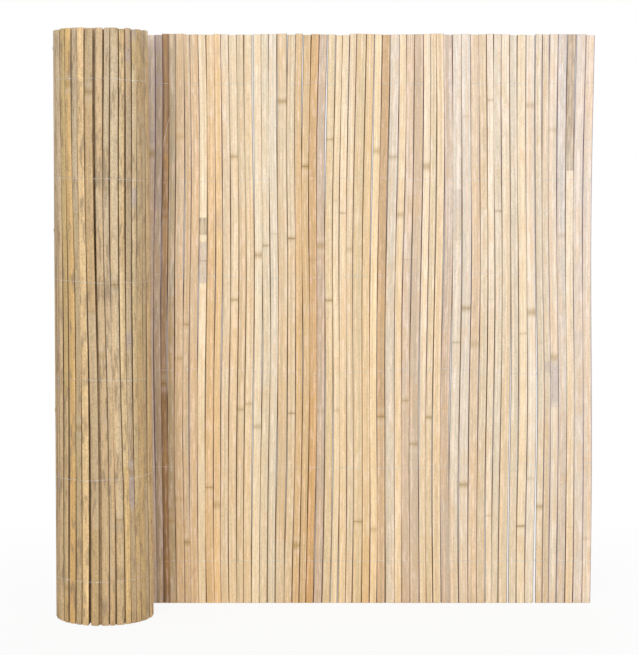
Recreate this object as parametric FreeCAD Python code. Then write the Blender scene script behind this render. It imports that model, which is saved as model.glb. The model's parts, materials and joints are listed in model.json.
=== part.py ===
"""Bamboo fence panel: split bamboo slats woven side by side on wire, standing partly unrolled.

The open slats stand in one plane, with their pith faces towards -Y and their bark towards +Y.
The rest of the panel is still rolled up at the -X end, bark outwards, and stands on its slat ends.
While it is built, the open pith faces lie in the plane y = 0 and the roll begins at x = 0.
The finished panel is moved so that the origin is the bottom centre of its box. Sizes are in mm.
"""
import FreeCAD, Part
import math
import os
import random

# Slats
FENCE_HEIGHT = 1000.0
SLAT_WIDTH = 12.4
SLAT_WIDTH_SPREAD = 2.8
SLAT_THICKNESS = 4.5
BARK_CROWN = 0.8
BARK_SHOULDER = 3.2
PITH_INSET = 0.7
TOP_UNEVENNESS = 3.0

# Nodes of the bamboo, the swollen rings across the bark
NODE_RISE = 0.9
NODE_HALF_LENGTH = 5.0
NODE_STEP_BAYS = 2
NODE_BAY_LOW = 0.12
NODE_BAY_HIGH = 0.88

# Open part of the panel
LEAD_SLATS = 11
OPEN_SLATS = 50
SLAT_GAP = 1.5
TIGHT_GAP_SHARE = 0.25
GAP_SKEW = 4
FOOT_CROWDING = 0.6

# Binding wire
WIRE_DIAMETER = 0.9
WIRE_SEAT = 0.1
WIRE_SIDES = 6
END_BENDS = 3
HALF_TURN_BENDS = 10
WIRE_ROWS = 6
FOOT_ROW_EDGE = 75.0
TOP_ROW_EDGE = 86.0

# Roll
ROLL_RADIUS = 83.0
CORE_RADIUS = 37.0
TURN_SLACK = 1.2
CONTACT_HEIGHT = 1.0

# Worked out from the driving dimensions
PANEL_SLATS = LEAD_SLATS + OPEN_SLATS
PANEL_LENGTH = PANEL_SLATS * (SLAT_WIDTH + SLAT_GAP)
EDGE_THICKNESS = SLAT_THICKNESS - BARK_CROWN
ROW_SPACING = (FENCE_HEIGHT - FOOT_ROW_EDGE - TOP_ROW_EDGE) / (WIRE_ROWS - 1)
ROW_HEIGHTS = [FOOT_ROW_EDGE + row * ROW_SPACING for row in range(WIRE_ROWS)]
WIRE_RADIUS = WIRE_DIAMETER / 2
WIRE_OFFSET = WIRE_SEAT + WIRE_RADIUS
TURN_PITCH = SLAT_THICKNESS + 2 * WIRE_DIAMETER + TURN_SLACK
PITH_RADIUS = ROLL_RADIUS - SLAT_THICKNESS
WIDEST_SHOULDER = (SLAT_WIDTH + SLAT_WIDTH_SPREAD) / 2 - BARK_SHOULDER


def vector(x, y, z=0.0):
    return FreeCAD.Vector(x, y, z)


def varied(source, mean, spread):
    """A value within spread of mean."""
    return mean + spread * source.uniform(-1, 1)


def panel_widths():
    """Widths of the open slats, adding up to their share of the panel's length."""
    source = random.Random("panel widths")
    widths = [varied(source, SLAT_WIDTH, SLAT_WIDTH_SPREAD) for slat in range(PANEL_SLATS)]
    surplus = sum(widths) / PANEL_SLATS - SLAT_WIDTH
    return [width - surplus for width in widths]


def gap_weights(seed):
    """How much of the spare room each gap takes: little for most, much for a few."""
    source = random.Random(seed)
    return [source.random() ** GAP_SKEW for slat in range(PANEL_SLATS)]


def left_edges(widths, seed, crowding):
    """Left edges of the open slats at one end, in order from the roll, with an uneven gap before each.

    Crowding narrows the gaps beside the roll and widens those at the free edge.
    """
    weights = []
    for place, (shared, own) in enumerate(zip(gap_weights("gaps"), gap_weights(seed))):
        share = place / (PANEL_SLATS - 1)
        weights.append((shared + own) * (1 - crowding * math.cos(math.pi * share)))
    mean_weight = sum(weights) / PANEL_SLATS
    edges = []
    reach = 0.0
    for width, weight in zip(widths, weights):
        reach += SLAT_GAP * (TIGHT_GAP_SHARE + (1 - TIGHT_GAP_SHARE) * weight / mean_weight)
        edges.append(reach)
        reach += width
    return edges


def node_heights(source):
    """Heights of one slat's nodes, a regular number of bays apart and clear of the wire rows."""
    bays = range(source.randrange(NODE_STEP_BAYS), WIRE_ROWS - 1, NODE_STEP_BAYS)
    return [ROW_HEIGHTS[bay] + ROW_SPACING * source.uniform(NODE_BAY_LOW, NODE_BAY_HIGH) for bay in bays]


def bark_points(width, rise=0.0):
    """The slat's bark seen from its end: sideways place of each corner and its height over the pith.

    A node lifts the crown of the bark by rise.
    """
    half = width / 2
    shoulder = half - BARK_SHOULDER
    crown = SLAT_THICKNESS + rise
    return [(-half, EDGE_THICKNESS), (-shoulder, crown), (shoulder, crown), (half, EDGE_THICKNESS)]


def skin(outlines):
    """A solid over a row of outlines with the same number of corners, with flat faces between them."""
    corners = range(len(outlines[0]))
    borders = [outlines[0], outlines[-1]]
    for lower, upper in zip(outlines, outlines[1:]):
        borders += [[lower[place - 1], lower[place], upper[place]] for place in corners]
        borders += [[lower[place - 1], upper[place], upper[place - 1]] for place in corners]
    faces = [Part.Face(Part.makePolygon(border + border[:1])) for border in borders]
    solid = Part.Solid(Part.Shell(faces))
    if solid.Volume < 0:
        solid.reverse()
    return solid.removeSplitter()


def slat_outline(left, width, rise, height):
    """A slat's outline at one height: flat pith, split edges and a wider, rounded bark."""
    middle = left + width / 2
    bark = [vector(middle + across, over, height) for across, over in bark_points(width, rise)]
    pith_left = vector(left + PITH_INSET, 0, height)
    pith_right = vector(left + width - PITH_INSET, 0, height)
    return [pith_left] + bark + [pith_right]


def slat(width, foot_left, top_left, length, nodes):
    """One open slat: straight, a little out of plumb, with its bark swollen at each node."""
    stations = [(0.0, 0.0)]
    for node in nodes:
        stations += [(node - NODE_HALF_LENGTH, 0.0), (node, NODE_RISE), (node + NODE_HALF_LENGTH, 0.0)]
    stations.append((length, 0.0))
    lean = (top_left - foot_left) / FENCE_HEIGHT
    return skin([slat_outline(foot_left + lean * height, width, rise, height) for height, rise in stations])


def panel_slats():
    """The open slats in order from the roll to the free edge."""
    widths = panel_widths()
    feet = left_edges(widths, "foot gaps", FOOT_CROWDING)
    tops = left_edges(widths, "top gaps", 0.0)
    source = random.Random("slat lengths and nodes")
    slats = []
    for width, foot_left, top_left in zip(widths, feet, tops):
        length = FENCE_HEIGHT - source.uniform(0, TOP_UNEVENNESS)
        slats.append(slat(width, foot_left, top_left, length, node_heights(source)))
    return slats


def half_turn(number):
    """Centre and pith radius of one half turn of the roll: a spiral of half circles about two centres."""
    radius = PITH_RADIUS - number * TURN_PITCH / 2
    centre = vector(0, -PITH_RADIUS - (number % 2) * TURN_PITCH / 2)
    return centre, radius


def rolled_slats():
    """Middle of the pith face, direction along the roll, outward normal and width of each rolled slat."""
    source = random.Random("rolled widths")
    slats = []
    number = 0
    centre, radius = half_turn(number)
    width = varied(source, SLAT_WIDTH, SLAT_WIDTH_SPREAD)
    travel = width / 2
    while True:
        if travel > math.pi * radius:
            travel -= math.pi * radius
            number += 1
            centre, radius = half_turn(number)
            if radius < CORE_RADIUS:
                return slats
        angle = math.pi / 2 + number * math.pi + travel / radius
        outward = vector(math.cos(angle), math.sin(angle))
        along = vector(-math.sin(angle), math.cos(angle))
        slats.append((centre + outward * radius, along, outward, width))
        next_width = varied(source, SLAT_WIDTH, SLAT_WIDTH_SPREAD)
        travel += (width + next_width) / 2 * radius / (radius + CONTACT_HEIGHT)
        width = next_width


def meeting_point(start, direction, other_start, other_direction):
    """Where two lines in the floor plane cross."""
    between = other_start - start
    cross = direction.x * other_direction.y - direction.y * other_direction.x
    distance = (between.x * other_direction.y - between.y * other_direction.x) / cross
    return start + direction * distance


def roll():
    """The turns of the roll, whose slats bear on each other at their inner corners and open up outside."""
    slats = rolled_slats()
    pith_line = []
    outline = []
    corner = slats[0][0] - slats[0][1] * (slats[0][3] / 2)
    pith_line.append(corner)
    for place, (middle, along, outward, width) in enumerate(slats):
        half = along * (width / 2)
        outline.append(corner)
        outline += [middle + along * across + outward * over for across, over in bark_points(width)]
        if place + 1 < len(slats):
            next_middle, next_along, next_outward, next_width = slats[place + 1]
            next_near = next_middle - next_along * (next_width / 2)
            corner = meeting_point(middle + half, outward, next_near, next_outward)
            pith_line.append(meeting_point(middle, along, next_middle, next_along))
        else:
            corner = middle + half
            pith_line.append(corner)
    outline += reversed(pith_line)
    return Part.Face(Part.makePolygon(outline)).extrude(vector(0, 0, FENCE_HEIGHT))


def arc(centre, radius, start, end, steps):
    """Corners of a bend, in the floor plane, whose straight runs touch the circle from outside."""
    step = (end - start) / steps
    reach = radius / math.cos(step / 2)
    angles = [start + step * (place + 0.5) for place in range(steps)]
    return [centre + vector(math.cos(angle), math.sin(angle)) * reach for angle in angles]


def wire_path():
    """Middle line of a wire: along the pith, round the end slat, back along the bark, once round the roll.

    On the roll it bears on the shoulders of the widest slats.
    """
    end_slat = vector(PANEL_LENGTH, SLAT_THICKNESS / 2)
    path = [vector(0, -WIRE_OFFSET)]
    path += arc(end_slat, SLAT_THICKNESS / 2 + WIRE_OFFSET, -math.pi / 2, math.pi / 2, END_BENDS)
    for number in (0, 1):
        centre, radius = half_turn(number)
        start = math.pi / 2 + number * math.pi
        ring = math.hypot(radius + SLAT_THICKNESS, WIDEST_SHOULDER) + WIRE_OFFSET
        path += arc(centre, ring, start, start + math.pi, HALF_TURN_BENDS)
    path.append(vector(0, SLAT_THICKNESS + WIRE_OFFSET - TURN_PITCH))
    return path


def wire_row(height):
    """One binding wire, with a many-sided section."""
    path = wire_path()
    runs = [(end - start).normalize() for start, end in zip(path, path[1:])]
    outlines = []
    for middle, before, after in zip(path, runs[:1] + runs, runs + runs[-1:]):
        run = before + after
        across = vector(run.y, -run.x) * (2 / run.dot(run))
        outline = []
        for side in range(WIRE_SIDES):
            angle = 2 * math.pi * side / WIRE_SIDES
            corner = across * math.cos(angle) + vector(0, 0, math.sin(angle))
            outline.append(middle + vector(0, 0, height) + corner * WIRE_RADIUS)
        outlines.append(outline)
    return skin(outlines)


def build():
    """Every piece of the panel by name."""
    slats = panel_slats()
    pieces = {"roll": roll(), "lead_slats": Part.Compound(slats[:LEAD_SLATS])}
    for number, piece in enumerate(slats[LEAD_SLATS:], 1):
        pieces[f"slat_{number:02d}"] = piece
    for number, height in enumerate(ROW_HEIGHTS, 1):
        pieces[f"wire_row_{number}"] = wire_row(height)
    box = Part.Compound(list(pieces.values())).BoundBox
    to_origin = vector(-(box.XMin + box.XMax) / 2, -(box.YMin + box.YMax) / 2, -box.ZMin)
    for piece in pieces.values():
        piece.translate(to_origin)
    return pieces


def main():
    os.makedirs("parts", exist_ok=True)
    for name, piece in build().items():
        piece.exportStep(f"parts/{name}.step")


main()
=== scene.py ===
"""Looks of a bamboo fence panel: split bamboo slats, the roll they come off and the wire that binds them.

The slats stand where the part's solids stand, with the same widths, leans, lengths and nodes.
Everything is in metres. Sizes that are easier to read in millimetres are multiplied by MM.
"""
import json
import math
import random

import bmesh
import bpy
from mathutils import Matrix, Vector


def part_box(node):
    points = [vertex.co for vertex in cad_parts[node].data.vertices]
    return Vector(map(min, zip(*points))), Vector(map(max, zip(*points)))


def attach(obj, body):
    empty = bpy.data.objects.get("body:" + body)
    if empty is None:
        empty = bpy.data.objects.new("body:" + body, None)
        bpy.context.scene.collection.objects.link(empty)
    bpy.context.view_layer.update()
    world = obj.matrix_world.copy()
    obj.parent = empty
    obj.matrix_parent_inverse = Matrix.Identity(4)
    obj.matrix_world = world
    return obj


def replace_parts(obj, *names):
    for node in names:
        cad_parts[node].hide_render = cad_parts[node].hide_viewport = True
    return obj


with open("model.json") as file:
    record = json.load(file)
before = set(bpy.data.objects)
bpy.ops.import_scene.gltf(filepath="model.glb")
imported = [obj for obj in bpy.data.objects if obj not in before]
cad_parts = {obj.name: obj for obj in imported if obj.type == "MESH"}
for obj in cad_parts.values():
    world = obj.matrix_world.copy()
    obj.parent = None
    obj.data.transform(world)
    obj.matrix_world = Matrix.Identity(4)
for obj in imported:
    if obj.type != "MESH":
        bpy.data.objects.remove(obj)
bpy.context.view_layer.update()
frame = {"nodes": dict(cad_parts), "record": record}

MM = 0.001
UP = Vector((0, 0, 1))
SAME_PLACE = 0.01 * MM

# Section and growth of a slat. The step of the roll's inner slats leaves no rings between their ends
OPEN_SIDES = 16
INNER_SIDES = 10
SECTION_SQUARENESS = 0.3
BARK_CROWN = 0.8 * MM
PITH_INSET = 1.1 * MM
NODE_RISE = 0.9 * MM
NODE_REACH = 3.2 * MM
PITH_SWELL = 0.15 * MM
NODE_RINGS = (-7.5, -4.5, -2.6, -1.2, 0, 1.2, 2.6, 4.5, 7.5)
RING_STEP = 42 * MM
INNER_RING_STEP = 2.0
NODE_CLEARANCE = 9 * MM
FAR_FROM_NODE = 60.0
STAIN_FADE = 1.5
END_ROUND = 0.5 * MM
END_INSET = 0.93

# How slats differ from each other. Sizes of waves are in mm, their lengths in metres
NODE_MARKS = (-0.8, 1)
TURN_SPREAD = math.radians(2.5)
WAVE_COUNT = 2
WAVE_SIZES = (0.12, 0.45)
WAVE_LENGTHS = (0.3, 0.8)
SAW_SLOPE = 0.03
GRAIN_SPREAD = 900
SHADE_SPREAD = 0.045
WARMTH = 4

# Open slats bow out at half their thickness to touch their neighbours, except over the widest gaps
TOUCH_DEPTH = 0.3 * MM
TOUCH_REACH = 1.55 * MM

# Neighbouring slats sway together, one long wave from foot to top
SWAY = 2.2 * MM
SWAY_LENGTH = 0.95
SWAY_SPACING = 0.42

# The roll, as in the part
SLAT_WIDTH = 12.4 * MM
SLAT_WIDTH_SPREAD = 2.8 * MM
ROLL_RADIUS = 83 * MM
CORE_RADIUS = 37 * MM
TURN_SLACK = 1.2 * MM
CONTACT_HEIGHT = 1.0 * MM
WIDEST_SHOULDER = 4.4 * MM
WIRE_DIAMETER = 0.9 * MM
WIRE_SEAT = 0.1 * MM

# How the roll stands: pushed and leaning along the panel, tighter at the top, its slats a little apart
ROLL_ASIDE = 3.5 * MM
ROLL_LEAN = 1.0 * MM
ROLL_TAPER = 0.025
ROLLED_WIDTH_SHARE = 0.9
ROLLED_LOOSENESS = 2.2
LEAST_GAP = 0.15
GAP_SPREAD = 6
GAP_SKEW = 5
PROUD = 0.6 * MM
ROLLED_UNEVENNESS = 2 * MM
ROLLED_FIRST_NODE = (0.05, 0.4)
ROLLED_INTERNODE = (0.29, 0.4)
NODE_TOP_ROOM = 0.03
ROLLED_PALENESS = 0.6

# Gaps on the front of the roll, before slats counted from the roll's start: shares at the foot and the top
WIDE_GAPS = {
    14: (1.0, 3.0),
    16: (0.4, 2.2),
    18: (2.6, 0.8),
    19: (3.2, 3.6),
    20: (0.3, 1.4),
    22: (1.4, 1.0),
    24: (0.5, 2.0),
}

# Binding wire as it shows
STRAND_RADIUS = 0.32 * MM
STRAND_STAND = (-1.6, 1.0)
STRAND_HOLD = 1.2 * MM
ROW_WAVES = (0.25, 0.9)
ROW_WANDER = 5 * MM
ROW_JITTER = 0.8 * MM

# Tones of the pith and the bark, by the record's slots, as they look in even light
TONES = {
    "pale_slat": ((241, 220, 183), (214, 188, 146)),
    "straw_slat": ((240, 212, 166), (205, 176, 130)),
    "honey_slat": ((231, 196, 146), (206, 166, 108)),
    "brown_slat": ((216, 172, 116), (178, 136, 88)),
    "grey_slat": ((217, 188, 151), (178, 156, 126)),
}

# The slats beside the roll, from its far side to the first open slat
LEAD_TONES = [TONES["straw_slat"]] * 5 + [
    ((224, 203, 180), (178, 158, 130)),
    ((188, 166, 140), (178, 158, 130)),
    ((158, 122, 84), (170, 130, 86)),
    ((184, 165, 132), (178, 158, 130)),
    ((222, 192, 148), (205, 176, 130)),
    ((234, 205, 162), (205, 176, 130)),
]

# The bark on the roll, with how often each tone comes
ROLL_TONES = {(220, 187, 136): 6, (198, 171, 127): 3, (223, 182, 120): 3, (210, 178, 121): 2}

# Slats near the free edge are bleached towards this tone, and all slats lose some yellow towards their tops
BLEACHED = (236, 220, 200)
BLEACH_SHARE = 0.65
BLEACH_START = 0.0
BLEACH_END = 0.46
TOP_FADE = {"pith_tone": (0.0, 0.025, 0.09), "bark_tone": (-0.025, 0.0, 0.06)}

# Stains, and on slat 7 a darker top, by slat counted from the roll: lower and upper end in mm, and
# strength, below 0 where lavender
STAINS = {
    7: [(790, 1000, 0.55)],
    12: [(565, 638, -0.8), (650, 680, 0.9)],
    44: [(640, 730, 0.35)],
    58: [(762, 1000, 0.75)],
}

# Splinters, by slat counted from the roll: slat, edge, then foot, length, reach along and forwards in mm
SPLINTERS = [(7, -1, 804, 83, 21, 6), (11, -1, 44, 27, 14, 4)]
SPLINTER_RADIUS = 1.0 * MM
SPLINTER_TAPER = 0.75
SPLINTER_BEND = 1.4
SPLINTER_SIDES = 5
SPLINTER_STEPS = 7

# Tones of the bamboo's markings, as they look in even light, and painted shade for the split sides between
# slats
WARM_INTERNODE = (230, 180, 116)
PALE_INTERNODE = (240, 224, 200)
HONEY_BAND = (224, 178, 118)
HONEY_CLOUD = (214, 170, 112)
COOL_STREAK = (228, 214, 217)
# Painted shade: the dark tone on the split sides stands for the shade in the crevices between slats, and
# the cool tone for a shadowed backdrop seen through gaps
PAINTED_CREVICE_SHADE = (92, 60, 38)
PAINTED_COOL_GAP_SHADE = (152, 136, 164)
SMUDGE = (137, 119, 97)
BLOOM = (178, 164, 168)
SPECK = (96, 80, 66)
STAIN = (138, 116, 96)
NODE_HALO = (246, 233, 210)
NODE_SMEAR = (182, 150, 92)
NODE_GRIME = (132, 114, 94)
NODE_SCAR = (112, 86, 58)
END_GRAIN = (206, 178, 134)
END_FIBRES = (142, 110, 74)

# The zinc on the wire, and its patches in a metre
DULL_ZINC = (188, 188, 188)
BRIGHT_ZINC = (238, 238, 238)
ZINC_PATCHES = 180.0

# The floor, which the camera sees nearly white by the panel and white farther off, and the even light
FLOOR_REACH = 30
FLOOR_TONE = (236, 236, 236)
FLOOR_GLOW = 0.9
FLOOR_FADE = (0.3, 1.2)
SOFT_LIGHT = 0.45

# Lamps: place, aim, size and power
LAMPS = {
    "key_lamp": ((-0.8, -3.4, 2.2), (0, 0, 0.5), 2.4, 56.5),
    "fill_lamp": ((1.9, -3.2, 1.5), (0.1, 0, 0.5), 2.0, 31),
    "back_lamp": ((0.7, 3.4, 2.2), (0, 0, 0.5), 2.4, 45),
}

# The photograph's view
PICTURE = (638, 655)
PANEL_TOP_PX = 33.5
PANEL_FOOT_PX = 603.0
FREE_EDGE_PX = 592.0
HORIZON_PX = 160.0
CAMERA_DISTANCE = 3.3
CAMERA_PITCH = math.radians(3.0)
SENSOR = 36.0


def linear(tone):
    """A colour given in 0 to 255 as it looks, in the linear values that a shader takes."""
    parts = [part / 255 for part in tone]
    return tuple(part / 12.92 if part < 0.04045 else ((part + 0.055) / 1.055) ** 2.4 for part in parts)


def opaque(tone):
    return (*linear(tone), 1.0)


def bell(distance, reach):
    return math.exp(-(distance / reach) ** 2)


def signed_power(value, power):
    return math.copysign(abs(value) ** power, value)


class Slat:
    """One slat: where it stands, which way its bark faces, and how it grew and was split."""

    def __init__(self, foot, top, along, outward, width, thickness, nodes, sway, source, looseness=1.0):
        self.foot = foot
        self.top = top
        self.along = along
        self.outward = outward
        self.width = width
        self.thickness = thickness
        self.nodes = nodes
        self.height = top.z - foot.z
        self.node_marks = [max(0.0, source.uniform(*NODE_MARKS)) for node in nodes]
        self.internode_hues = [source.uniform(-1, 1) for internode in range(len(nodes) + 1)]
        self.turn = TURN_SPREAD * looseness * source.uniform(-1, 1)
        self.twist = TURN_SPREAD * looseness * source.uniform(-1, 1)
        self.waves = [(SWAY_LENGTH, sway, SWAY)]
        for wave in range(WAVE_COUNT):
            size = source.uniform(*WAVE_SIZES) * MM
            self.waves.append((source.uniform(*WAVE_LENGTHS), source.uniform(0, 2 * math.pi), size))
        self.saw_slope = source.uniform(-SAW_SLOPE, SAW_SLOPE)
        self.grain = Vector([source.uniform(0, GRAIN_SPREAD) for axis in range(3)])
        self.shade = 1 + SHADE_SPREAD * looseness * source.uniform(-1, 1)
        self.warmth = source.uniform(-1, 1)
        self.weathering = source.random()
        self.stains = []
        self.touches = {-1: (0.0, 0.0), 1: (0.0, 0.0)}

    def middle(self, height):
        return self.foot.lerp(self.top, height / self.height)

    def wander(self, height):
        turns = [(2 * math.pi * height / length + start, size) for length, start, size in self.waves]
        return sum(size * math.sin(angle) for angle, size in turns)

    def nearest_node(self, height):
        """How far the nearest node is, and how strongly it is marked."""
        distances = [(abs(height - node), mark) for node, mark in zip(self.nodes, self.node_marks)]
        return min(distances, default=(1.0, 0.0))

    def hue(self, height):
        """Tint of the internode at a height."""
        return self.internode_hues[sum(node < height for node in self.nodes)]

    def touch(self, side, height):
        """How far an edge bows out at a height."""
        foot, top = self.touches[side]
        return foot + (top - foot) * height / self.height

    def stain(self, height):
        return sum(strength for low, high, strength in self.stains if low < height / MM < high)

    def place(self, across, over, height):
        """Point at a place across the slat and a height over its pith."""
        angle = self.turn + self.twist * (height / self.height - 0.5)
        half = self.thickness / 2
        turned_across = across * math.cos(angle) - (over - half) * math.sin(angle)
        turned_over = across * math.sin(angle) + (over - half) * math.cos(angle) + half
        turned_across += self.wander(height)
        return self.middle(height) + self.along * turned_across + self.outward * turned_over

    def section(self, cosine, sine, height):
        """Across and over of a point of the rounded section, from its place on the unit circle."""
        swell = bell(self.nearest_node(height)[0], NODE_REACH)
        inset = END_INSET if height in (0.0, self.height) else 1.0
        upness = signed_power(sine, SECTION_SQUARENESS)
        bow = self.touch(math.copysign(1, cosine), height) * (1 - max(0.0, upness))
        half_width = self.width / 2 + bow - PITH_INSET * max(0.0, -upness)
        across = half_width * inset * signed_power(cosine, SECTION_SQUARENESS)
        over = (self.thickness - BARK_CROWN) / 2 * (1 + inset * upness)
        if sine > 0:
            share = max(0.0, 1 - (2 * across / self.width) ** 2)
            over += (BARK_CROWN + NODE_RISE * swell) * share * sine
        else:
            over += PITH_SWELL * swell * sine
        return across, over


def slat_heights(slat, step):
    """Heights of the rings of a slat: close together at its nodes and its cut ends."""
    rings = {0.0, END_ROUND, slat.height - END_ROUND, slat.height}
    count = max(1, round(slat.height / step))
    rings.update(slat.height * place / count for place in range(1, count))
    if step < slat.height:
        rings = {ring for ring in rings if slat.nearest_node(ring)[0] > NODE_CLEARANCE}
        rings.update(node + ring * MM for node in slat.nodes for ring in NODE_RINGS)
    ends = {end for low, high, strength in slat.stains for end in (low, high) if end * MM < slat.height}
    rings.update((end + side) * MM for end in ends for side in (-STAIN_FADE, STAIN_FADE))
    return sorted(rings)


def new_slat_mesh():
    """An empty bmesh that can hold what the bamboo material reads."""
    mesh = bmesh.new()
    mesh.verts.layers.float_vector.new("grain")
    for name in ("bark", "node", "mark", "hue", "stain", "cut", "weathering"):
        mesh.verts.layers.float.new(name)
    for name in ("pith_tone", "bark_tone"):
        mesh.verts.layers.float_color.new(name)
    return mesh


def drawn_up(mesh, sides, heights):
    """A round face drawn up ring by ring, hollow within. Returns each ring's height and corners."""
    ring = bmesh.ops.create_circle(mesh, cap_ends=True, segments=sides, radius=1.0)["verts"]
    face = ring[0].link_faces[0]
    rings = [(heights[0], ring)]
    for height in heights[1:]:
        grown = bmesh.ops.extrude_face_region(mesh, geom=[face])["geom"]
        if len(rings) > 1:
            bmesh.ops.delete(mesh, geom=[face], context="FACES_ONLY")
        face = next(item for item in grown if isinstance(item, bmesh.types.BMFace))
        rings.append((height, [item for item in grown if isinstance(item, bmesh.types.BMVert)]))
    return rings


def grow(slat, tones, sides, step):
    """A bmesh of one slat: a round face drawn up ring by ring, then pressed to the slat's section."""
    mesh = new_slat_mesh()
    for height, ring in drawn_up(mesh, sides, slat_heights(slat, step)):
        for vert in ring:
            across, over = slat.section(vert.co.x, vert.co.y, height)
            dress(mesh, vert, slat, tones, across, over, height)
            vert.co = slat.place(across, over, height)
            if height == slat.height:
                vert.co.z += slat.saw_slope * across - abs(slat.saw_slope) * slat.width / 2
    return mesh


def dress(mesh, vert, slat, tones, across, over, height):
    """Notes on a corner what the bamboo material reads there."""
    layers = mesh.verts.layers
    distance, mark = slat.nearest_node(height)
    vert[layers.float_vector["grain"]] = slat.grain + Vector((across, over, height)) / MM
    vert[layers.float["bark"]] = min(1.0, max(0.0, over / (slat.thickness - BARK_CROWN)))
    vert[layers.float["node"]] = min(FAR_FROM_NODE, distance / MM)
    vert[layers.float["mark"]] = mark
    vert[layers.float["hue"]] = slat.hue(height)
    vert[layers.float["stain"]] = slat.stain(height)
    vert[layers.float["cut"]] = 1.0 if height in (0.0, slat.height) else 0.0
    vert[layers.float["weathering"]] = slat.weathering
    share = height / slat.height
    for (name, fades), tone in zip(TOP_FADE.items(), tones):
        faded = [part * (1 + fade * share) for part, fade in zip(tone, fades)]
        vert[layers.float_color[name]] = opaque(faded)


def splinter(slat, tones, edge, foot, length, sideways, forwards):
    """A bmesh of a thin sliver that starts in a slat's edge and springs away from it."""
    mesh = new_slat_mesh()
    for place, ring in drawn_up(mesh, SPLINTER_SIDES, range(SPLINTER_STEPS + 1)):
        share = place / SPLINTER_STEPS
        height = foot + length * share
        start = slat.place(edge * (slat.width / 2 - PITH_INSET), 0.0, height)
        bend = share ** SPLINTER_BEND
        middle = start + slat.along * sideways * bend - slat.outward * forwards * bend
        radius = SPLINTER_RADIUS * (1 - SPLINTER_TAPER * share)
        for vert in ring:
            dress(mesh, vert, slat, tones, vert.co.x * MM, 0.0, height)
            vert.co = middle + (slat.along * vert.co.x + slat.outward * vert.co.y) * radius
    return mesh


def joined(meshes):
    """One bmesh of several."""
    whole = new_slat_mesh()
    for mesh in meshes:
        data = bpy.data.meshes.new("slat")
        mesh.to_mesh(data)
        mesh.free()
        whole.from_mesh(data)
        bpy.data.meshes.remove(data)
    return whole


def finished(name, mesh, material):
    """Makes a bmesh a shown piece of the panel."""
    bmesh.ops.recalc_face_normals(mesh, faces=mesh.faces)
    for face in mesh.faces:
        face.smooth = len(face.verts) == 4
    data = bpy.data.meshes.new(name)
    mesh.to_mesh(data)
    mesh.free()
    data.materials.append(material)
    piece = bpy.data.objects.new(name, data)
    bpy.context.scene.collection.objects.link(piece)
    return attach(piece, "root")


def blend(tone, other, share):
    return [part + (end - part) * share for part, end in zip(tone, other)]


def own_tones(tones, slat):
    """A slat's own pith and bark tones, a little lighter or darker and warmer or cooler than its kind's."""
    warm = WARMTH * slat.warmth
    warmed = [(red + warm, green + warm / 2, blue - warm) for red, green, blue in tones]
    return [[min(255, part * slat.shade) for part in tone] for tone in warmed]


# Slats of the open panel


def separate_solids(node):
    """Corners of each solid in a CAD node."""
    mesh = bmesh.new()
    mesh.from_mesh(frame["nodes"][node].data)
    bmesh.ops.remove_doubles(mesh, verts=mesh.verts, dist=SAME_PLACE)
    left = set(mesh.verts)
    solids = []
    while left:
        front = [left.pop()]
        corners = []
        while front:
            vert = front.pop()
            corners.append(vert.co.copy())
            near = {edge.other_vert(vert) for edge in vert.link_edges} & left
            left -= near
            front += near
        solids.append(corners)
    mesh.free()
    return sorted(solids, key=lambda corners: min(corner.x for corner in corners))


def open_slat(corners, source):
    """The slat that a CAD solid's corners describe."""
    height = max(corner.z for corner in corners)
    foot = [corner for corner in corners if corner.z < MM]
    top = [corner for corner in corners if corner.z > height - MM]
    pith = min(corner.y for corner in corners)
    bark = max(corner.y for corner in foot)
    foot_left, foot_right = [pick(corner.x for corner in foot) for pick in (min, max)]
    top_left, top_right = [pick(corner.x for corner in top) for pick in (min, max)]
    return Slat(
        foot=Vector(((foot_left + foot_right) / 2, pith, 0)),
        top=Vector(((top_left + top_right) / 2, pith, height)),
        along=Vector((1, 0, 0)),
        outward=Vector((0, 1, 0)),
        width=foot_right - foot_left,
        thickness=bark - pith,
        nodes=sorted({round(corner.z, 4) for corner in corners if corner.y > bark + NODE_RISE / 2}),
        sway=2 * math.pi * foot_left / SWAY_SPACING,
        source=source,
    )


def bow_to_touch(slat, following):
    """Lets the edges of two neighbours bow out until they touch, as far as they reach."""
    solid = (slat.width + following.width) / 2
    gaps = (following.foot.x - slat.foot.x - solid, following.top.x - slat.top.x - solid)
    touches = [min(gap / 2 + TOUCH_DEPTH, TOUCH_REACH) for gap in gaps]
    slat.touches[1] = following.touches[-1] = touches


def bleached(tones, slat):
    """An open slat's tones, with the pith bleached towards the free edge."""
    share = min(1.0, max(0.0, (slat.foot.x - BLEACH_START) / (BLEACH_END - BLEACH_START)))
    return blend(tones[0], BLEACHED, BLEACH_SHARE * share), tones[1]


def make_open_slats(material):
    """A piece for each open slat and one for the lead slats. Returns the slats, from the roll on."""
    slots = {row["node"]: row["material_slot"] for row in frame["record"]["subparts"]}
    nodes = sorted(name for name in slots if name.startswith("slat_"))
    source = random.Random("open slats")
    slats = [open_slat(corners, source) for corners in separate_solids("lead_slats")]
    lead_count = len(slats)
    slats += [open_slat(separate_solids(node)[0], source) for node in nodes]
    for slat, following in zip(slats, slats[1:]):
        bow_to_touch(slat, following)
    for place, stains in STAINS.items():
        slats[place].stains = stains
    kinds = LEAD_TONES + [TONES[slots[node]] for node in nodes]
    tones = [own_tones(bleached(kind, slat), slat) for kind, slat in zip(kinds, slats)]
    meshes = [[grow(slat, own, OPEN_SIDES, RING_STEP)] for slat, own in zip(slats, tones)]
    for place, edge, *sizes in SPLINTERS:
        sliver = splinter(slats[place], TONES["pale_slat"], edge, *(size * MM for size in sizes))
        meshes[place].append(sliver)
    lead = finished("bamboo_lead_slats", joined(sum(meshes[:lead_count], [])), material)
    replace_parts(lead, "lead_slats")
    for node, parts in zip(nodes, meshes[lead_count:]):
        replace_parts(finished(f"bamboo_{node}", joined(parts), material), node)
    return slats


# The roll


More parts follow.
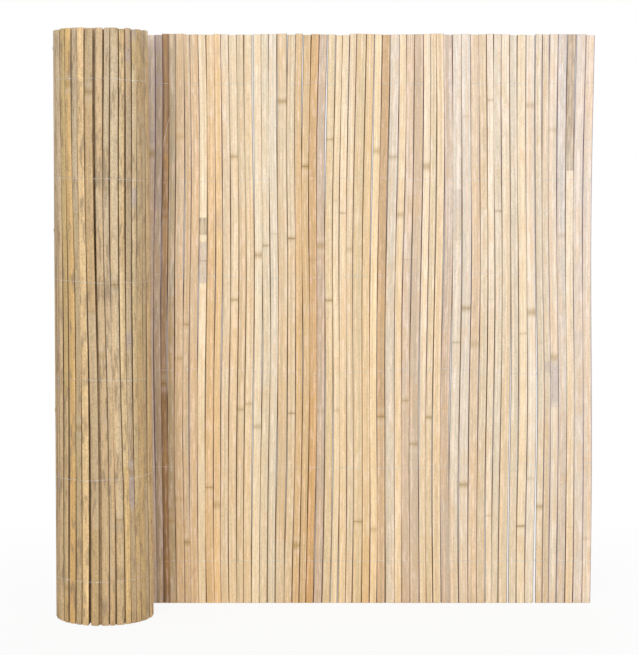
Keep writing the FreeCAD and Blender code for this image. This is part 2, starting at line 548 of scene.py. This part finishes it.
class Roll:
    """The spiral that the part's roll follows, leaning and tapering a little as the photograph's does."""

    def __init__(self, thickness, pith_plane):
        self.thickness = thickness
        self.pitch = thickness + 2 * WIRE_DIAMETER + TURN_SLACK
        self.pith_radius = ROLL_RADIUS - thickness
        ring = math.hypot(ROLL_RADIUS, WIDEST_SHOULDER) + WIRE_SEAT + WIRE_DIAMETER
        self.start_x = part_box("wire_row_1")[0].x + ring
        self.pith_plane = pith_plane
        self.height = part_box("roll")[1].z
        self.source = random.Random("rolled slats")

    def half_turn(self, number):
        """Distance from the pith plane to the centre of a half turn, and its pith radius."""
        return self.pith_radius + (number % 2) * self.pitch / 2, self.pith_radius - number * self.pitch / 2

    def point(self, depth, radius, angle, height):
        """Where a point of the spiral stands at one height."""
        share = height / self.height * 2 - 1
        settled = (1 - math.cos(min(angle, math.pi))) / 2
        scale = 1 - ROLL_TAPER * share * settled
        x = -math.sin(angle) * radius * scale + (ROLL_ASIDE - ROLL_LEAN * share) * settled
        y = math.cos(angle) * radius * scale - self.pith_radius * (scale - 1) - depth
        return Vector((self.start_x + x, self.pith_plane + y, height))

    def places(self):
        """Half turn, angle and width of each of the part's rolled slats, from outside to inside."""
        widths = random.Random("rolled widths")
        found = []
        number = 0
        radius = self.half_turn(number)[1]
        width = SLAT_WIDTH + SLAT_WIDTH_SPREAD * widths.uniform(-1, 1)
        travel = width / 2
        while True:
            if travel > math.pi * radius:
                travel -= math.pi * radius
                number += 1
                radius = self.half_turn(number)[1]
                if radius < CORE_RADIUS:
                    return found
            found.append((number, number * math.pi + travel / radius, width))
            next_width = SLAT_WIDTH + SLAT_WIDTH_SPREAD * widths.uniform(-1, 1)
            travel += (width + next_width) / 2 * radius / (radius + CONTACT_HEIGHT)
            width = next_width

    def drifts(self, widths, end):
        """How far each slat lies from its place at one end, 0 the foot: most gaps are tight, a few wide."""
        gaps = [LEAST_GAP + GAP_SPREAD * self.source.random() ** GAP_SKEW for width in widths]
        for place, ends in WIDE_GAPS.items():
            gaps[place] = ends[end]
        spare = sum(widths) * (1 - ROLLED_WIDTH_SHARE)
        found = []
        drift = 0.0
        for width, gap in zip(widths, gaps):
            room = width * (1 - ROLLED_WIDTH_SHARE)
            drift += spare * gap / sum(gaps) - room / 2
            found.append(drift)
            drift -= room / 2
        return found

    def slats(self):
        """The rolled slats with their turn numbers, from outside to inside."""
        places = self.places()
        widths = [width for number, angle, width in places]
        slats = []
        ends = [self.drifts(widths, end) for end in (0, 1)]
        for (number, angle, width), foot, top in zip(places, *ends):
            slat = self.rolled_slat(number, angle, width * ROLLED_WIDTH_SHARE, foot, top)
            slats.append((number // 2, slat))
        return slats

    def rolled_slat(self, number, angle, width, foot_drift, top_drift):
        depth, radius = self.half_turn(number)
        stand = radius + self.source.uniform(-PROUD, PROUD)
        middle = angle + (foot_drift + top_drift) / 2 / radius
        first = self.source.uniform(*ROLLED_FIRST_NODE)
        step = self.source.uniform(*ROLLED_INTERNODE)
        top = self.height - self.source.uniform(0, ROLLED_UNEVENNESS)
        return Slat(
            foot=self.point(depth, stand, angle + foot_drift / radius, 0.0),
            top=self.point(depth, stand, angle + top_drift / radius, top),
            along=Vector((-math.cos(middle), -math.sin(middle), 0)),
            outward=Vector((-math.sin(middle), math.cos(middle), 0)),
            width=width,
            thickness=self.thickness,
            nodes=[node for node in (first, first + step, first + 2 * step) if node < top - NODE_TOP_ROOM],
            sway=2 * angle,
            source=self.source,
            looseness=ROLLED_LOOSENESS,
        )


def make_roll(material, thickness, pith_plane):
    """The roll's slats as one piece, finely grown on the outer turn. Returns that turn's slats."""
    source = random.Random("rolled tones")
    meshes = []
    outer = []
    for turn, slat in Roll(thickness, pith_plane).slats():
        bark = source.choices(list(ROLL_TONES), list(ROLL_TONES.values()))[0]
        tones = own_tones([blend(bark, TONES["pale_slat"][0], ROLLED_PALENESS), bark], slat)
        if turn == 0:
            meshes.append(grow(slat, tones, OPEN_SIDES, RING_STEP))
            outer.append(slat)
        else:
            meshes.append(grow(slat, tones, INNER_SIDES, INNER_RING_STEP))
    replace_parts(finished("bamboo_roll", joined(meshes), material), "roll")
    return outer


# Binding wire


def strand_points(stops, first_side, height, source):
    """Points of one strand: it goes before and behind the slats by turns and crosses over in each gap.

    Each stop is a slat and the way across it, 1 or -1.
    """
    waves = [(source.uniform(*ROW_WAVES), source.uniform(0, 2 * math.pi)) for wave in range(WAVE_COUNT)]
    first, way = stops[0]
    points = [first.place(-way * (first.width / 2 + 2 * STRAND_RADIUS), first.thickness / 2, height)]
    travel = 0.0
    side = first_side
    for (slat, way), (following, next_way) in zip(stops, stops[1:] + stops[-1:]):
        rise = sum(math.sin(2 * math.pi * travel / length + start) for length, start in waves)
        level = height + ROW_WANDER / 2 * rise + ROW_JITTER * source.uniform(-1, 1)
        hold = slat.width / 2 - STRAND_HOLD
        stand = STRAND_RADIUS * source.uniform(*STRAND_STAND)
        for across in (-hold, 0, hold):
            crown = slat.thickness - BARK_CROWN * (2 * across / slat.width) ** 2
            over = crown + stand if side > 0 else -stand
            points.append(slat.place(way * across, over, level))
        here = slat.place(way * slat.width / 2, slat.thickness / 2, level)
        ahead = following.place(-next_way * following.width / 2, slat.thickness / 2, level)
        if following is not slat:
            points.append((ahead + here) / 2 + UP * STRAND_RADIUS * side)
        travel += slat.width
        side = -side
    return points


def wire_piece(name, lines, radius, material):
    """Round wire along each line of points."""
    curve = bpy.data.curves.new(name, "CURVE")
    curve.dimensions = "3D"
    curve.bevel_depth = radius
    curve.bevel_resolution = 1
    curve.use_fill_caps = True
    for line in lines:
        spline = curve.splines.new("POLY")
        spline.points.add(len(line) - 1)
        for point, place in zip(spline.points, line):
            point.co = (*place, 1.0)
    drawn = bpy.data.objects.new(name, curve)
    bpy.context.scene.collection.objects.link(drawn)
    data = bpy.data.meshes.new_from_object(drawn.evaluated_get(bpy.context.evaluated_depsgraph_get()))
    bpy.data.objects.remove(drawn)
    bpy.data.curves.remove(curve)
    mesh = bmesh.new()
    mesh.from_mesh(data)
    bpy.data.meshes.remove(data)
    return finished(name, mesh, material)


def make_wires(material, open_slats, outer_turn):
    """Each row's wire: two strands twined through the open slats and the roll's outer turn."""
    stops = [(slat, -1) for slat in reversed(open_slats)] + [(slat, 1) for slat in outer_turn]
    for node in sorted(name for name in frame["nodes"] if name.startswith("wire_row_")):
        low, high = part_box(node)
        lines = [strand_points(stops, side, (low.z + high.z) / 2, random.Random(node)) for side in (-1, 1)]
        wire = wire_piece(f"galvanised_{node}", lines, STRAND_RADIUS, material)
        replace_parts(wire, node)


# Materials


class Socket:
    """A socket of a material's nodes. Arithmetic on it adds Math nodes."""

    def __init__(self, tree, output=None):
        self.tree = tree
        self.output = output

    def node(self, kind, settings=None, inputs=None, output=0):
        """Any node: its settings first, then the values or links of its sockets."""
        made = self.tree.nodes.new(kind)
        for name, value in (settings or {}).items():
            setattr(made, name, value)
        for name, value in (inputs or {}).items():
            if isinstance(value, Socket):
                self.tree.links.new(value.output, made.inputs[name])
            else:
                made.inputs[name].default_value = value
        return Socket(self.tree, made.outputs[output])

    def math(self, operation, first, second=0.0, third=0.0, clamp=False):
        settings = {"operation": operation, "use_clamp": clamp}
        return self.node("ShaderNodeMath", settings, {0: first, 1: second, 2: third})

    def __add__(self, other):
        return self.math("ADD", self, other)

    def __sub__(self, other):
        return self.math("SUBTRACT", self, other)

    def __rsub__(self, other):
        return self.math("SUBTRACT", other, self)

    def __mul__(self, other):
        return self.math("MULTIPLY", self, other)

    def __truediv__(self, other):
        return self.math("DIVIDE", self, other)

    __radd__ = __add__
    __rmul__ = __mul__

    def bell(self, reach):
        """1 at 0, falling away on both sides."""
        share = self / reach
        return self.math("EXPONENT", 0 - share * share)

    def between(self, low, high):
        """0 below low and 1 above high, smoothly."""
        settings = {"interpolation_type": "SMOOTHSTEP"}
        return self.node("ShaderNodeMapRange", settings, {"Value": self, "From Min": low, "From Max": high})

    def attribute(self, name, output):
        return self.node("ShaderNodeAttribute", {"attribute_name": name}, output=output)

    def grain_noise(self, across, along, detail=2.0):
        """Noise on a slat's own grain, by its repeats in a millimetre across and along."""
        grain = self.attribute("grain", "Vector")
        repeats = (across, across, along)
        scaled = self.node("ShaderNodeVectorMath", {"operation": "MULTIPLY"}, {0: grain, 1: repeats})
        inputs = {"Vector": scaled, "Scale": 1.0, "Detail": detail}
        return self.node("ShaderNodeTexNoise", None, inputs, "Fac")

    def mix(self, factor, first, second):
        """Colour between two colours."""
        settings = {"data_type": "RGBA", "clamp_factor": True}
        return self.node("ShaderNodeMix", settings, {0: factor, 6: first, 7: second}, 2)

    def lit(self, colour, strength):
        """Colour times a number."""
        return self.node("ShaderNodeVectorMath", {"operation": "SCALE"}, {0: colour, "Scale": strength})


def new_material(name):
    """A material with a plain surface shader. Returns it, its shader node and a start for its sockets."""
    material = bpy.data.materials.new(name)
    material.use_nodes = True
    tree = material.node_tree
    return material, tree.nodes["Principled BSDF"], Socket(tree)


def connect(start, values, shader):
    for name, value in values.items():
        if isinstance(value, Socket):
            start.tree.links.new(value.output, shader.inputs[name])
        else:
            shader.inputs[name].default_value = value


def bamboo_material():
    """Split bamboo: fibres along the slat, dull pith, waxy bark with smudges, olive marks at the nodes,
    painted shade on the split sides.
    """
    material, shader, start = new_material("split_bamboo")
    bark = start.attribute("bark", "Fac")
    cut = start.attribute("cut", "Fac")
    weathering = start.attribute("weathering", "Fac")
    hue = start.attribute("hue", "Fac")
    node = start.attribute("node", "Fac")
    mark = start.attribute("mark", "Fac")
    fibre = start.grain_noise(1.7, 0.03)
    streak = start.grain_noise(0.42, 0.0025, 3.0)
    band = start.grain_noise(0.1, 0.0012, 1.0)
    cloud = start.grain_noise(0.07, 0.018)
    patch = start.grain_noise(0.004, 0.013, 1.0)
    mottle = start.grain_noise(0.45, 0.28, 4.0)
    drift = start.grain_noise(0.28, 0.035, 4.0)
    speck = start.grain_noise(0.8, 0.3, 3.0)

    pith_tone = start.attribute("pith_tone", "Color")
    tone = start.mix(bark.between(0.3, 0.7), pith_tone, start.attribute("bark_tone", "Color"))
    tone = start.mix(0.16 * hue.between(0.2, 1.0), tone, opaque(WARM_INTERNODE))
    tone = start.mix(0.2 * (0 - hue).between(0.2, 1.0), tone, opaque(PALE_INTERNODE))
    tone = start.mix(0.25 * band.between(0.52, 0.7), tone, opaque(HONEY_BAND))
    honeyed = (cloud + 0.5 * (streak - 0.5)).between(0.5, 0.64)
    tone = start.mix(0.24 * honeyed, tone, opaque(HONEY_CLOUD))
    paled = (drift + 0.5 * (streak - 0.5)).between(0.52, 0.66) * (1 - bark)
    tone = start.mix(0.22 * paled, tone, opaque(COOL_STREAK))
    shade = 0.3 * (fibre - 0.5) + 0.16 * (streak.between(0.4, 0.6) - 0.5) + 0.24 * (cloud - 0.5)
    shade = shade + (0.22 + 0.3 * bark) * (drift - 0.5) + 0.1 * paled
    tone = start.lit(tone, 1 + shade + 0.85 * (mottle - 0.5) * (0.45 + 0.55 * bark))

    # Painted shade: the split sides are darkened for the shade in the crevices between slats, and in some
    # slats tinted cool for a shadowed backdrop seen through the gaps
    edge = 1 - start.math("ABSOLUTE", 2 * bark - 1)
    cool_gap_shade_share = weathering.between(0.55, 0.75) * (1 - bark.between(0.4, 0.6))
    painted_crevice_tone = start.mix(cool_gap_shade_share, opaque(PAINTED_CREVICE_SHADE), opaque(PAINTED_COOL_GAP_SHADE))
    tone = start.mix(0.86 * edge.between(0.1, 0.5), tone, painted_crevice_tone)

    smudge = cloud.between(0.45, 0.62) * drift.between(0.4, 0.6) * (0.03 + 0.97 * bark)
    tone = start.mix(0.7 * smudge, tone, opaque(SMUDGE))
    ragged_patch = patch + 0.25 * (mottle - 0.5) + 0.2 * (streak - 0.5)
    bloom = ragged_patch.between(0.63, 0.7) * weathering.between(0.75, 0.95)
    stain = start.attribute("stain", "Fac")
    bloom = start.math("MAXIMUM", bloom, 0 - stain)
    tone = start.mix(0.5 * bloom, tone, opaque(BLOOM))
    specks = speck.between(0.62, 0.69) * (bloom + 0.6 * bark)
    tone = start.mix(0.7 * specks, tone, opaque(SPECK))

    stained = stain.between(0.0, 1.0) * (0.4 + 0.6 * drift.between(0.35, 0.65))
    tone = start.mix(0.75 * stained, tone, opaque(STAIN))

    ragged = node + 8 * (streak - 0.5) + 6 * (mottle - 0.5)
    tone = start.mix(0.22 * (ragged - 11).bell(5.0) * mark, tone, opaque(NODE_HALO))
    smear = (ragged / (2 + 7 * mark * weathering)).bell(1.0) * mark
    tone = start.mix(0.62 * smear, tone, opaque(NODE_SMEAR))
    grime = node.bell(15.0) * mottle.between(0.46, 0.64) * mark * (0.2 + 0.8 * bark)
    tone = start.mix(0.6 * grime, tone, opaque(NODE_GRIME))
    scar = (node + 1.2 * (fibre - 0.5)).bell(0.9) * mark * (1 - weathering.between(0.3, 0.7))
    tone = start.mix(0.52 * scar, tone, opaque(NODE_SCAR))

    bundles = start.grain_noise(2.4, 0.0, 1.0)
    end_grain = start.mix(bundles.between(0.45, 0.6), opaque(END_GRAIN), opaque(END_FIBRES))
    tone = start.mix(cut, tone, end_grain)

    height = 0.6 * fibre + 0.4 * streak - 0.4 * scar + 0.2 * smear
    relief = {"Strength": 0.35, "Distance": 0.4 * MM, "Height": height}
    normal = start.node("ShaderNodeBump", None, relief, "Normal")
    roughness = 0.7 - 0.16 * bark + 0.25 * (fibre - 0.5) + 0.12 * smudge
    connect(start, {"Base Color": tone, "Roughness": roughness, "Normal": normal, "IOR": 1.45}, shader)
    return material


def wire_material():
    """Galvanised wire: dull zinc with brighter and greyer patches."""
    material, shader, start = new_material("galvanised_zinc")
    place = start.node("ShaderNodeTexCoord", output="Object")
    spread = {"Vector": place, "Scale": ZINC_PATCHES, "Detail": 3.0}
    patches = start.node("ShaderNodeTexNoise", None, spread, "Fac")
    tone = start.mix(patches.between(0.35, 0.65), opaque(DULL_ZINC), opaque(BRIGHT_ZINC))
    connect(start, {"Base Color": tone, "Metallic": 0.85, "Roughness": 0.28 + 0.3 * patches}, shader)
    return material


# Floor, light and camera


def make_floor():
    """A pale floor that the camera sees nearly white, with the panel's soft shadow on it."""
    mesh = bmesh.new()
    bmesh.ops.create_grid(mesh, x_segments=1, y_segments=1, size=FLOOR_REACH)
    data = bpy.data.meshes.new("floor")
    mesh.to_mesh(data)
    mesh.free()
    floor = bpy.data.objects.new("floor", data)
    bpy.context.scene.collection.objects.link(floor)
    material, shader, start = new_material("pale_floor")
    connect(start, {"Base Color": opaque(FLOOR_TONE), "Roughness": 0.9}, shader)
    glow = start.node("ShaderNodeEmission", None, {"Color": (1, 1, 1, 1), "Strength": 1.0})
    seen = start.node("ShaderNodeLightPath", output="Is Camera Ray")
    place = start.node("ShaderNodeTexCoord", output="Object")
    distance = start.node("ShaderNodeVectorMath", {"operation": "LENGTH"}, {0: place}, "Value")
    whiteness = FLOOR_GLOW + (1 - FLOOR_GLOW) * distance.between(*FLOOR_FADE)
    diffuse = Socket(start.tree, shader.outputs[0])
    mixed = start.node("ShaderNodeMixShader", None, {0: seen * whiteness, 1: diffuse, 2: glow})
    start.tree.links.new(mixed.output, start.tree.nodes["Material Output"].inputs["Surface"])
    data.materials.append(material)


def make_world():
    """White all round for the camera and for reflections, and an even soft light."""
    world = bpy.data.worlds.new("studio")
    world.use_nodes = True
    bpy.context.scene.world = world
    start = Socket(world.node_tree)
    path = world.node_tree.nodes.new("ShaderNodeLightPath")
    shown = Socket(world.node_tree, path.outputs["Is Camera Ray"])
    for name in ("Is Glossy Ray", "Is Transmission Ray"):
        shown = start.math("MAXIMUM", shown, Socket(world.node_tree, path.outputs[name]))
    background = world.node_tree.nodes["Background"]
    background.inputs["Color"].default_value = (1, 1, 1, 1)
    world.node_tree.links.new((SOFT_LIGHT + (1 - SOFT_LIGHT) * shown).output, background.inputs["Strength"])


def make_lamp(name, place, aim, size, power):
    """A soft square lamp."""
    light = bpy.data.lights.new(name, "AREA")
    light.shape = "SQUARE"
    light.size = size
    light.energy = power
    lamp = bpy.data.objects.new(name, light)
    bpy.context.scene.collection.objects.link(lamp)
    lamp.location = place
    lamp.rotation_euler = (Vector(aim) - Vector(place)).to_track_quat("-Z", "Y").to_euler()


def make_camera(pith_plane, free_edge, height):
    """Square to the open panel and looking down a little, with the photograph's framing."""
    scale = (PANEL_FOOT_PX - PANEL_TOP_PX) / height
    eye = (PANEL_FOOT_PX - HORIZON_PX) / scale
    foot = math.tan(CAMERA_PITCH - math.atan(eye / CAMERA_DISTANCE))
    top = math.tan(CAMERA_PITCH + math.atan((height - eye) / CAMERA_DISTANCE))
    focal_px = (PANEL_FOOT_PX - PANEL_TOP_PX) / (top - foot)
    axis_px = PANEL_TOP_PX + focal_px * top
    depth = CAMERA_DISTANCE * math.cos(CAMERA_PITCH) + (eye - height / 2) * math.sin(CAMERA_PITCH)
    data = bpy.data.cameras.new("camera")
    data.sensor_width = SENSOR
    data.lens = focal_px * SENSOR / max(PICTURE)
    data.shift_y = (axis_px - PICTURE[1] / 2) / max(PICTURE)
    camera = bpy.data.objects.new("camera", data)
    bpy.context.scene.collection.objects.link(camera)
    aside = (FREE_EDGE_PX - PICTURE[0] / 2) * depth / focal_px
    camera.location = (free_edge - aside, pith_plane - CAMERA_DISTANCE, eye)
    camera.rotation_euler = (math.pi / 2 - CAMERA_PITCH, 0, 0)
    bpy.context.scene.camera = camera


bamboo = bamboo_material()
open_slats = make_open_slats(bamboo)
pith_plane = open_slats[0].foot.y
outer_turn = make_roll(bamboo, open_slats[0].thickness, pith_plane)
make_wires(wire_material(), open_slats, outer_turn)

make_floor()
make_world()
for name, (place, aim, size, power) in LAMPS.items():
    make_lamp(name, place, aim, size, power)
make_camera(pith_plane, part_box("slat_50")[1].x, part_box("roll")[1].z)
bpy.context.scene.view_settings.view_transform = "Standard"
